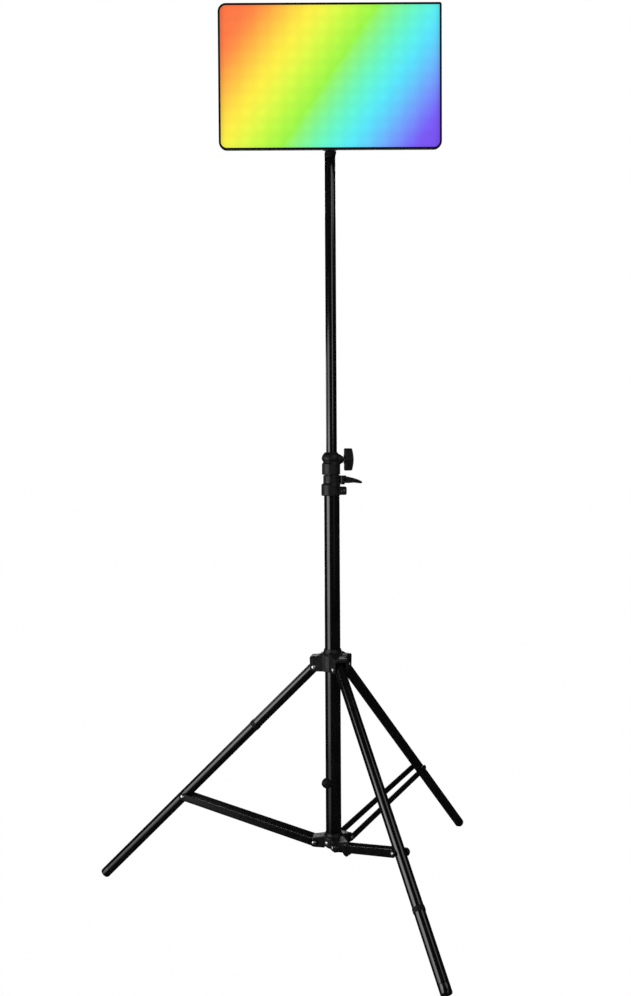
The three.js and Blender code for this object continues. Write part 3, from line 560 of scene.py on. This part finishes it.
def extrude(name, outline, y0, y1, matrix=None, holes=()):
    """Plate with an outline in XZ, from y0 to y1; holes are further outlines cut through it."""
    bm = bmesh.new()
    edges = []
    for loop in (outline, *holes):
        verts = [bm.verts.new((x, y0, z)) for x, z in loop]
        for i, vert in enumerate(verts):
            edges.append(bm.edges.new((vert, verts[(i + 1) % len(verts)])))
    bmesh.ops.triangle_fill(bm, use_beauty=True, use_dissolve=True, edges=edges)
    made = bmesh.ops.extrude_face_region(bm, geom=list(bm.faces))
    moved = [item for item in made["geom"] if isinstance(item, bmesh.types.BMVert)]
    bmesh.ops.translate(bm, verts=moved, vec=(0, y1 - y0, 0))
    if matrix is not None:
        bmesh.ops.transform(bm, matrix=matrix, verts=bm.verts)
    bmesh.ops.recalc_face_normals(bm, faces=bm.faces)
    mesh = bpy.data.meshes.new(name)
    bm.to_mesh(mesh)
    bm.free()
    return link_object(name, mesh)


def merge(target, extras):
    """Adds the extra pieces to the target's mesh and removes them."""
    bm = bmesh.new()
    for piece in (target, *extras):
        bm.from_mesh(piece.data)
    bm.to_mesh(target.data)
    bm.free()
    for piece in extras:
        bpy.data.objects.remove(piece)


def apply_modifiers(piece):
    depsgraph = bpy.context.evaluated_depsgraph_get()
    depsgraph.update()
    mesh = bpy.data.meshes.new_from_object(piece.evaluated_get(depsgraph))
    old = piece.data
    piece.modifiers.clear()
    piece.data = mesh
    bpy.data.meshes.remove(old)


def bevel(piece, width, segments):
    modifier = piece.modifiers.new("edge", "BEVEL")
    modifier.width = width
    modifier.segments = segments
    modifier.limit_method = "ANGLE"
    modifier.angle_limit = math.radians(40.0)
    apply_modifiers(piece)


def rounded_outline(low, high, radii, steps, inset=0.0):
    """XZ outline of a box, anticlockwise from the front; radii run top right, top left,
    bottom left, bottom right."""
    top_right, top_left, bottom_left, bottom_right = radii
    cx, cz = (low.x + high.x) / 2, (low.z + high.z) / 2
    width, height = high.x - low.x - 2 * inset, high.z - low.z - 2 * inset
    # side and level of each corner, its radius and the angle its arc starts at
    corners = (
        (1, -1, bottom_right, -90), (1, 1, top_right, 0),
        (-1, 1, top_left, 90), (-1, -1, bottom_left, 180),
    )
    outline = []
    for side, level, radius, start in corners:
        x = cx + side * width / 2 - side * radius
        z = cz + level * height / 2 - level * radius
        for k in range(steps + 1):
            angle = math.radians(start + 90 * k / steps)
            outline.append((x + radius * math.cos(angle), z + radius * math.sin(angle)))
    return outline


def cast_from(node, voxel, keep):
    """A moulded copy of a CAD node: same shape, with the small fillets of a moulding."""
    piece = link_object(node + "_moulded", frame["nodes"][node].data.copy())
    remesh = piece.modifiers.new("remesh", "REMESH")
    remesh.mode = "VOXEL"
    remesh.voxel_size = voxel
    remesh.adaptivity = 0.0
    soft = piece.modifiers.new("soft", "SMOOTH")
    soft.factor = 0.5
    soft.iterations = 6
    fewer = piece.modifiers.new("fewer", "DECIMATE")
    fewer.ratio = keep
    apply_modifiers(piece)
    place(piece, node, angle=60.0)


# ------------------------------------------------------------------ mast tubes
def upright_tube(node, wall):
    low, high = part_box(node)
    outer = (high.x - low.x) / 2
    inner = outer - wall
    end = 1.2 * MM  # rings close to the ends keep the long wall's shading straight
    place_lathe(node, "drawn", [
        (inner, low.z), (outer, low.z), (outer, low.z + end), (outer, high.z - end),
        (outer, high.z), (inner, high.z), (inner, high.z - end), (inner, low.z + end)],
        segments=96, round_by=0.0004)


upright_tube("lower_tube", wall=1.3 * MM)
upright_tube("middle_tube", wall=1.25 * MM)
upright_tube("upper_tube", wall=1.2 * MM)
place_lathe("column_end_cap", "moulded", mm(
    (0, 0), (11.2, 0), (11.9, 0.7), (11.9, 2.7), (10.4, 2.7), (10.4, 23), (0, 23)), segments=72)

# ------------------------------------------------------------------ legs and braces
LEG_TILT = math.radians(45.0)
LEG_LENGTH = 487.7 * MM
LEG_RADIUS = 8.0 * MM
LEG_WALL = 1.2 * MM
TUBE_END = LEG_LENGTH - 14.0 * MM
KNEE = 298.5 * MM  # from the hinge down the leg to the brace's rivet
TOE = 2.2 * MM  # how far each brace strip closes in on the leg at its rivet
SEAT = 14.15 * MM - TOE  # outer face of a strip at that rivet, with a little clearance
STRIP_HALF_HEIGHT = 5.4 * MM
STRIP_INNER, STRIP_OUTER = 12.0 * MM, 14.0 * MM  # from the brace's middle plane
STRIP_HOLE_RADIUS = 2.5 * MM


def arc(centre_x, radius, degrees):
    return [
        (centre_x + radius * math.cos(math.radians(a)), radius * math.sin(math.radians(a)))
        for a in degrees]


def dome(radius, height, base):
    """Profile of a rivet head from its rim to its crown."""
    angles = [math.pi / 2 * k / 6 for k in range(6, -1, -1)]
    return [(radius * math.sin(a), base + height * math.cos(a)) for a in angles]


def double_rivet(node, centre, axis, half_length, head, height):
    """Rivet domed at both ends."""
    shank = 2.2 * MM
    place_lathe(node, "turned", [
        *reversed(dome(head, -height, -half_length)), (shank, -half_length),
        (shank, half_length), *dome(head, height, half_length)],
        frame_from(centre, axis), angle=50.0, segments=40, round_by=0.0)


def leg_foot(key, at):
    """Foot cap flush with the tube, cut level where it stands on the floor."""
    end = LEG_LENGTH
    node = f"leg_{key}_foot"
    foot = lathe(node + "_moulded", [
        (0, end - 36 * MM), (6.3 * MM, end - 36 * MM), (6.5 * MM, end - 13.7 * MM),
        (LEG_RADIUS, end - 13.7 * MM), (LEG_RADIUS, end - 2.4 * MM), (7.7 * MM, end - 1.3 * MM),
        (7.0 * MM, end - 0.4 * MM), (6.0 * MM, end), (0, end)],
        at, segments=96, round_by=0.00015, steps=2)
    bm = bmesh.new()
    bm.from_mesh(foot.data)
    cut = bmesh.ops.bisect_plane(
        bm, geom=bm.verts[:] + bm.edges[:] + bm.faces[:], plane_co=(0, 0, FLOOR_Z),
        plane_no=(0, 0, -1), clear_outer=True)
    rim = [item for item in cut["geom_cut"] if isinstance(item, bmesh.types.BMEdge)]
    bmesh.ops.contextual_create(bm, geom=rim)
    bmesh.ops.recalc_face_normals(bm, faces=bm.faces)
    bm.to_mesh(foot.data)
    bm.free()
    place(foot, node)


def leg_band(key, at, pivot, along):
    """Thin ring round the leg."""
    node = f"leg_{key}_band"
    middle = (midpoint(node) - pivot).dot(along)
    # outwards from the leg's surface, along the leg from the band's middle
    section = mm((0.3, -3.4), (0.6, -3.4), (0.74, -1.6), (0.74, 1.6), (0.6, 3.4), (0.3, 3.4))
    profile = [(LEG_RADIUS + out, middle + shift) for out, shift in section]
    place_lathe(node, "moulded", profile, at, segments=72, round_by=0.0002)


def brace_strip(key, hand, side, root, knee, tangent, with_tail):
    """Flat strip with round ends, a boss against the leg and, on one side, the rivet's tail."""
    direction = (knee - root).normalized()
    length = (knee - root).length
    across = direction.cross(tangent).normalized()
    basis = Matrix((direction, tangent, across)).transposed().to_4x4()
    basis.translation = root
    lean = Matrix.Identity(4)
    lean[1][0] = -side * TOE / length
    outline = [
        *arc(length, STRIP_HALF_HEIGHT, range(-90, 91, 12)),
        *arc(0, STRIP_HALF_HEIGHT, range(90, 271, 12))]
    hole = arc(0, STRIP_HOLE_RADIUS, range(0, 360, 15))
    y0, y1 = sorted((side * STRIP_INNER, side * STRIP_OUTER))
    node = f"brace_{key}_strip_{hand}"
    strip = extrude(node + "_rolled", outline, y0, y1, basis @ lean, holes=(hole,))
    bevel(strip, width=0.0005, segments=3)
    at_knee = frame_from(knee, tangent * side)
    boss_end = 12.5 * MM - TOE
    extras = [lathe("boss", [
        (1.9 * MM, 8.9 * MM), (4.6 * MM, 8.9 * MM), (4.6 * MM, boss_end), (1.9 * MM, boss_end)],
        at_knee, segments=40)]
    if with_tail:
        extras.append(lathe("tail", [
            (0, 10.6 * MM), (3.4 * MM, 10.6 * MM), (3.4 * MM, SEAT - 0.15 * MM),
            (4.4 * MM, SEAT - 0.15 * MM), (4.25 * MM, SEAT + 0.5 * MM),
            (3.4 * MM, SEAT + 1.4 * MM), (1.8 * MM, SEAT + 2.2 * MM), (0, SEAT + 2.6 * MM)],
            at_knee, segments=40, round_by=0.0002))
    merge(strip, extras)
    place(strip, node)


def build_leg(key):
    """One leg with its foot, band, hinge and brace."""
    hinge = JOINTS[f"leg_{key}_fold"]
    pivot = Vector(hinge["pos_m"])
    tangent = Vector(hinge["axis"]).normalized()
    outward = tangent.cross(Z_UP).normalized()
    along = (outward * math.cos(LEG_TILT) - Z_UP * math.sin(LEG_TILT)).normalized()
    at = frame_from(pivot, along, tangent)
    inner = LEG_RADIUS - LEG_WALL
    place_lathe(f"leg_{key}_tube", "drawn", [
        (inner, -4.5 * MM), (LEG_RADIUS, -4.5 * MM), (LEG_RADIUS, -3.5 * MM),
        (LEG_RADIUS, TUBE_END - 1 * MM), (LEG_RADIUS, TUBE_END), (inner, TUBE_END)],
        at, segments=96, round_by=0.00015)
    leg_foot(key, at)
    if key in "ac":
        leg_band(key, at, pivot, along)
    double_rivet(f"leg_{key}_hinge_rivet", pivot, tangent,
                 half_length=11.6 * MM, head=3.6 * MM, height=1.9 * MM)

    root = Vector(JOINTS[f"brace_{key}_fold"]["pos_m"])
    double_rivet(f"brace_{key}_root_pin", root, tangent,
                 half_length=14.25 * MM, head=3.5 * MM, height=1.7 * MM)
    knee = pivot + along * KNEE
    head_side = 1 if key == "a" else -1  # side of the brace with the rivet's domed head
    for hand, side in (("left", 1), ("right", -1)):
        brace_strip(key, hand, side, root, knee, tangent, with_tail=side != head_side)
    place_lathe(f"brace_{key}_leg_rivet", "turned", [
        (0, 9.4 * MM), (1.6 * MM, 9.4 * MM), (1.6 * MM, SEAT - 0.05 * MM),
        *dome(3.5 * MM, 1.8 * MM, SEAT)],
        frame_from(knee, tangent * head_side), angle=50.0, segments=40, round_by=0.0)


for leg_key in "abc":
    build_leg(leg_key)

# ------------------------------------------------------------------ castings and mouldings
# node, voxel size in metres, share of the faces kept
CASTINGS = (
    ("leg_hub", 0.00055, 0.4), ("base_spider", 0.00055, 0.4), ("lower_collar", 0.00045, 0.45),
    ("middle_collar", 0.00045, 0.45), ("swivel_base", 0.0005, 0.4), ("tilt_bracket", 0.0005, 0.4),
    ("lower_collar_lever", 0.0004, 0.5), ("middle_collar_knob", 0.0004, 0.5),
    ("travel_stop", 0.0004, 0.5), ("mast_top_cap", 0.0004, 0.45),
)
for cast_node, voxel_size, kept_share in CASTINGS:
    cast_from(cast_node, voxel_size, kept_share)


# ------------------------------------------------------------------ knobs, dials and buttons
def lobed(count, depth, z_from, z_to):
    """Rounded flutes between two heights, fading out at both; the shank stays round."""
    shank, fade = 3.5 * MM, 1.2 * MM

    def radial(angle, radius, z):
        if radius < shank:
            return radius
        rise = max(0.0, min(1.0, (z - z_from) / fade))
        fall = max(0.0, min(1.0, (z_to - z) / fade))
        return radius - depth * (rise * fall) * (0.5 - 0.5 * math.cos(count * angle)) ** 1.5
    return radial


def knurl(angle, radius, z):
    """Fine teeth round a dial's rim."""
    if radius < 8.2 * MM or z < -28.9 * MM or z > -21.4 * MM:
        return radius
    return radius - 0.35 * MM * (0.5 - 0.5 * math.cos(36 * angle))


place_lathe("hub_lock_knob", "moulded", mm(
    (0, 12.6), (2.9, 12.6), (2.9, 18.5), (5.6, 18.5), (6.4, 19.4), (6.5, 22.6), (6.4, 27.6),
    (5.6, 29.4), (3.4, 30.2), (0, 30.4)),
    joint_frame("hub_lock_knob_turn"), segments=96, round_by=0.0006,
    radial=lobed(count=8, depth=0.7 * MM, z_from=20.0 * MM, z_to=31.5 * MM))
place_lathe("pan_lock_knob", "moulded", mm(
    (0, 4.6), (2.6, 4.6), (2.6, 17.6), (6.4, 17.6), (7.6, 18.6), (7.8, 25.6), (6.8, 27.6),
    (0, 28.4)),
    joint_frame("pan_lock_knob_turn"), segments=96, round_by=0.0006,
    radial=lobed(count=8, depth=1.0 * MM, z_from=18.4 * MM, z_to=27.8 * MM))
place_lathe("tilt_lock_knob", "moulded", mm(
    (3.3, 13.6), (3.3, 9.7), (6.2, 9.7), (6.4, 12.4), (11.6, 14.2), (12.5, 16.0), (12.5, 23.0),
    (11.0, 25.2), (6.0, 26.4), (0.6, 26.6), (0.6, 13.6)),
    joint_frame("tilt_lock_knob_turn"), segments=120, round_by=0.0007,
    radial=lobed(count=6, depth=2.2 * MM, z_from=13.6 * MM, z_to=30.0 * MM))

# from here the second column of a profile is world y
for dial in ("brightness_dial", "colour_dial"):
    place_lathe(dial, "moulded", mm(
        (0, -33.6), (2.2, -33.6), (2.2, -29.6), (8.6, -29.6), (9.3, -28.8), (9.0, -21.8),
        (8.2, -21.0), (0, -20.8)),
        frame_along_y(JOINTS[dial + "_turn"]["pos_m"]),
        segments=144, round_by=0.0004, steps=2, radial=knurl)
for button in ("power_button", "mode_button"):
    place_lathe(button, "moulded", mm(
        (0, -33.6), (4.9, -33.6), (4.9, -28.7), (3.9, -28.05), (2.2, -28.35), (0, -28.45)),
        frame_along_y(midpoint(button)), segments=56, round_by=0.0004)
place_lathe("battery_latch", "moulded", mm(
    (0, -33.4), (1.9, -33.4), (1.9, -26.6), (3.0, -26.6), (2.95, -25.0), (2.2, -24.45),
    (0, -24.5)),
    frame_along_y(midpoint("battery_latch")), segments=48)

# ------------------------------------------------------------------ screws and fixing rivet
place_lathe("collar_clamp_screw", "turned", mm(
    (0, -8.3), (1.0, -8.3), (1.15, -9.1), (2.2, -9.15), (3.3, -8.9), (3.5, -8.0), (3.5, -6.9),
    (1.9, -6.9), (1.9, 7.2), (0, 7.2)),
    frame_along_y(midpoint("collar_clamp_screw")), segments=48)


def bracket_screw(node):
    """Screw along Y with a recessed head at the back."""
    low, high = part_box(node)
    front, back = low.y, high.y
    place_lathe(node, "turned", [
        (0, front), (1.5 * MM, front), (1.5 * MM, back - 2.1 * MM), (3.4 * MM, back - 2.1 * MM),
        (3.3 * MM, back - 0.9 * MM), (2.4 * MM, back - 0.2 * MM), (1.3 * MM, back),
        (1.15 * MM, back - 1.1 * MM), (0, back - 1.2 * MM)],
        frame_along_y(midpoint(node)), segments=48, round_by=0.0002)


def tilt_bolt():
    """Bolt along X with a recessed head at the left."""
    low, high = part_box("tilt_bolt")
    left, right = low.x, high.x
    centre = midpoint("tilt_bolt")
    place_lathe("tilt_bolt", "turned", [
        (0, left + 2.2 * MM), (2.3 * MM, left + 2.2 * MM), (2.5 * MM, left), (4.6 * MM, left),
        (5.2 * MM, left + 0.6 * MM), (5.2 * MM, left + 3.9 * MM), (3.0 * MM, left + 3.9 * MM),
        (3.0 * MM, right), (0, right)],
        frame_from((0, centre.y, centre.z), (1, 0, 0)), segments=60)


def spider_fixing_rivet():
    """Rivet pointing straight out from the mast."""
    centre = midpoint("spider_fixing_rivet")
    outward = Vector((centre.x, centre.y, 0)).normalized()
    place_lathe("spider_fixing_rivet", "turned", mm(
        (0, 12.3), (2.0, 12.3), (2.0, 17.7), (3.0, 17.7), (2.9, 18.3), (2.3, 19.0), (1.2, 19.4),
        (0, 19.5)),
        frame_from((0, 0, centre.z), outward), segments=40, round_by=0.0002)


bracket_screw("bracket_screw_left")
bracket_screw("bracket_screw_right")
tilt_bolt()
spider_fixing_rivet()

# ------------------------------------------------------------------ panel
CORNER_RADIUS = 12.0 * MM
TOP_RIGHT_RADIUS = 3.0 * MM


def panel_radii(inset):
    corner = max(CORNER_RADIUS - inset, 0.0003)
    return [max(TOP_RIGHT_RADIUS - inset, 0.0003), corner, corner, corner]


def front_bezel():
    """Closed ring through rounded rectangles."""
    low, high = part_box("front_bezel")
    front, back = low.y, high.y
    # inset from the panel's outline, y
    sections = [
        (0.0, front + 0.9 * MM), (0.12 * MM, front + 0.45 * MM), (0.4 * MM, front + 0.14 * MM),
        (0.85 * MM, front), (2.5 * MM, front), (2.85 * MM, front + 0.1 * MM),
        (3.05 * MM, front + 0.35 * MM), (3.1 * MM, front + 0.7 * MM), (3.1 * MM, front + 1.2 * MM),
        (1.6 * MM, front + 1.2 * MM), (1.6 * MM, back), (0.25 * MM, back),
        (0.0, back - 0.3 * MM)]
    verts, rows, faces = [], [], []
    for inset, y in sections:
        outline = rounded_outline(low, high, panel_radii(inset), 14, inset)
        rows.append([len(verts) + i for i in range(len(outline))])
        verts += [(x, y, z) for x, z in outline]
    count = len(rows[0])
    for near, far in zip(rows, rows[1:] + rows[:1]):
        for i in range(count):
            i2 = (i + 1) % count
            faces.append((near[i], near[i2], far[i2], far[i]))
    place(new_object("front_bezel_moulded", verts, faces), "front_bezel", angle=45.0)


def diffuser():
    outline = rounded_outline(DIFFUSER_LOW, DIFFUSER_HIGH, panel_radii(1.9 * MM), 12)
    sheet = extrude("diffuser_sheet", outline, DIFFUSER_LOW.y, DIFFUSER_HIGH.y)
    bevel(sheet, width=0.0003, segments=2)
    place(sheet, "diffuser")


def battery_pack():
    """Soft-edged case with a tongue and a wider, thin lip at its front."""
    low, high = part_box("battery_pack")
    bottom, top = 1158 * MM, 1216 * MM  # of the tongue and the lip

    def plate(name, half_width, y1):
        outline = [
            (-half_width, bottom), (half_width, bottom), (half_width, top), (-half_width, top)]
        return extrude(name, outline, low.y, y1)

    outline = rounded_outline(low, high, [3.0 * MM] * 4, 8)
    case = extrude("battery_pack_case", outline, -24.0 * MM, high.y)
    bevel(case, width=0.0012, segments=4)
    tongue = plate("tongue", 13 * MM, -23.6 * MM)
    lip = plate("lip", 14.8 * MM, low.y + 0.5 * MM)
    merge(case, (tongue, lip))
    place(case, "battery_pack")


front_bezel()
diffuser()
battery_pack()

# ------------------------------------------------------------------ the CAD pieces themselves
for cad_node, cad_piece in frame["nodes"].items():
    dress(cad_piece, cad_node, angle=32.0)


# ------------------------------------------------------------------ floor and world
def studio_floor():
    """Pale floor: flat white to the camera, a matt, faintly glowing surface to the light."""
    bpy.ops.mesh.primitive_plane_add(size=60, location=(0, 0, FLOOR_Z - 0.0002))
    ground = bpy.context.object
    ground.name = "studio_floor"
    tree = Tree("studio_floor")
    matt = tree.mix(tree.noise(scale=3.0, detail=2.0), (0.90, 0.90, 0.90), (0.93, 0.93, 0.93))
    tree.link(matt, tree.bsdf.inputs["Base Color"])
    tree.bsdf.inputs["Roughness"].default_value = 0.9
    tree.bsdf.inputs["Specular IOR Level"].default_value = 0.0
    tree.bsdf.inputs["Emission Color"].default_value = (1, 1, 1, 1)
    tree.bsdf.inputs["Emission Strength"].default_value = 0.4
    pale = tree.add("ShaderNodeEmission")
    white = tree.mix(tree.noise(scale=3.0, detail=2.0), (0.995, 0.995, 0.995), (1.0, 1.0, 1.0))
    tree.link(white, pale.inputs["Color"])
    either = tree.add("ShaderNodeMixShader")
    tree.link(tree.add("ShaderNodeLightPath").outputs["Is Camera Ray"], either.inputs[0])
    tree.link(tree.bsdf.outputs[0], either.inputs[1])
    tree.link(pale.outputs[0], either.inputs[2])
    tree.link(either.outputs[0], tree.out.inputs["Surface"])
    ground.data.materials.append(tree.material)
    ground.visible_glossy = False
    ground.visible_shadow = False


def studio_world(diffuse_level, glossy_level, camera_level):
    """Grey surroundings with a level of their own for each kind of ray."""
    world = bpy.data.worlds.new("studio")
    scene.world = world
    world.use_nodes = True
    nodes, links = world.node_tree.nodes, world.node_tree.links
    nodes.clear()
    out = nodes.new("ShaderNodeOutputWorld")
    paths = nodes.new("ShaderNodeLightPath")

    def background(level):
        node = nodes.new("ShaderNodeBackground")
        node.inputs["Color"].default_value = (level, level, level, 1)
        node.inputs["Strength"].default_value = 1.0
        return node.outputs[0]

    def choose(ray, otherwise, level):
        node = nodes.new("ShaderNodeMixShader")
        links.new(paths.outputs[ray], node.inputs[0])
        links.new(otherwise, node.inputs[1])
        links.new(background(level), node.inputs[2])
        return node.outputs[0]

    unseen = choose("Is Glossy Ray", background(diffuse_level), glossy_level)
    links.new(choose("Is Camera Ray", unseen, camera_level), out.inputs["Surface"])


studio_floor()
studio_world(diffuse_level=0.50, glossy_level=0.012, camera_level=1.0)


# ------------------------------------------------------------------ lights
def area_light(name, location, target, width, height, radiance):
    data = bpy.data.lights.new(name, "AREA")
    data.shape = "RECTANGLE"
    data.size, data.size_y = width, height
    data.energy = radiance * math.pi * width * height
    light = link_object(name, data)
    light.location = location
    aim = Vector(target) - Vector(location)
    light.rotation_euler = aim.to_track_quat("-Z", "Y").to_euler()
    light.visible_camera = False
    return light


def softbox(name, azimuth, distance, width, bands):
    """Upright light facing the mast, at an azimuth in degrees from the front (-Y), positive to
    the right; each band is a light of its own: (bottom, top, radiance)."""
    angle = math.radians(azimuth)
    x, y = math.sin(angle) * distance, -math.cos(angle) * distance
    for i, (bottom, top, radiance) in enumerate(bands):
        z = (bottom + top) / 2
        area_light(f"{name}_{i}", (x, y, z), (0, 0, z), width, top - bottom, radiance)


softbox("key_left", azimuth=-59, distance=1.0, width=0.72, bands=[
    (0.70, 0.92, 2.6), (0.40, 0.70, 3.9), (0.25, 0.40, 3.5), (0.07, 0.25, 2.6),
    (-0.10, 0.07, 1.5), (-0.30, -0.10, 0.65)])
softbox("fill_right", azimuth=29, distance=2.8, width=0.8, bands=[
    (0.72, 2.10, 2.1), (0.10, 0.60, 0.12)])
softbox("side_left", azimuth=-125, distance=1.3, width=1.1, bands=[(0.64, 0.90, 1.0)])
softbox("back", azimuth=180, distance=2.8, width=1.2, bands=[
    (1.60, 2.60, 6.0), (0.05, 0.50, 3.0)])
top_light = area_light(
    "top", location=(0.28, -1.58, 3.2), target=(0, 0, 0.4), width=2.2, height=2.2, radiance=2.0)
top_light.visible_glossy = False
area_light(
    "high_right", location=(0.85, -0.54, 1.39), target=(0.14, -0.30, 0.05),
    width=0.66, height=0.66, radiance=1.3)


# ------------------------------------------------------------------ camera
def build_camera(location, pitch, yaw, roll, lens):
    """Camera looking along +Y, pitched down and yawed to the right; angles in degrees."""
    data = bpy.data.cameras.new("camera")
    data.sensor_width = 36.0
    data.lens = lens
    data.clip_start, data.clip_end = 0.05, 100.0
    camera = link_object("camera", data)
    scene.camera = camera
    pitch, yaw, roll = math.radians(pitch), math.radians(yaw), math.radians(roll)
    forward = Vector((
        math.sin(yaw) * math.cos(pitch), math.cos(yaw) * math.cos(pitch), -math.sin(pitch)))
    level_right = Vector((math.cos(yaw), -math.sin(yaw), 0))
    level_up = level_right.cross(forward)
    right = math.cos(roll) * level_right + math.sin(roll) * level_up
    up = -math.sin(roll) * level_right + math.cos(roll) * level_up
    matrix = Matrix((right, up, -forward)).transposed().to_4x4()
    matrix.translation = Vector(location)
    camera.matrix_world = matrix


build_camera(
    location=(-0.03035, -1.67386, 0.60128), pitch=1.977, yaw=0.179, roll=-0.35, lens=39.318072)

scene.view_settings.view_transform = "Standard"
scene.view_settings.look = "None"
scene.view_settings.exposure = 0.0
scene.view_settings.gamma = 1.0
